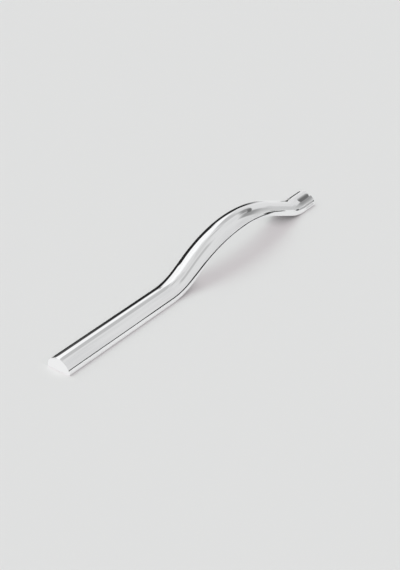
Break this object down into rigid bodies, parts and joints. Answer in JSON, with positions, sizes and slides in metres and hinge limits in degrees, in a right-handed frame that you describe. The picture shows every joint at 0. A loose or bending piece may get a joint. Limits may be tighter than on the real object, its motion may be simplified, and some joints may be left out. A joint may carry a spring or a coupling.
{
  "type": "cabinet handle",
  "caption": "Chrome cabinet handle: a half-round bar with a long flat tail, a low off-centre finger arch and a short foot, held by screws from behind the door.",
  "frame": {"origin": "midway between the two screw holes, on the plane of the flat back", "axes": "+X along the bar from the tail to the foot, +Y across the bar, +Z out of the door towards the hand"},
  "size_m": [0.2729, 0.018, 0.0302],
  "materials": {
    "chrome_plate": "polished"
  },
  "bodies": {
    "root": {"handle_bar": "chrome_plate"}
  },
  "joints": []
}
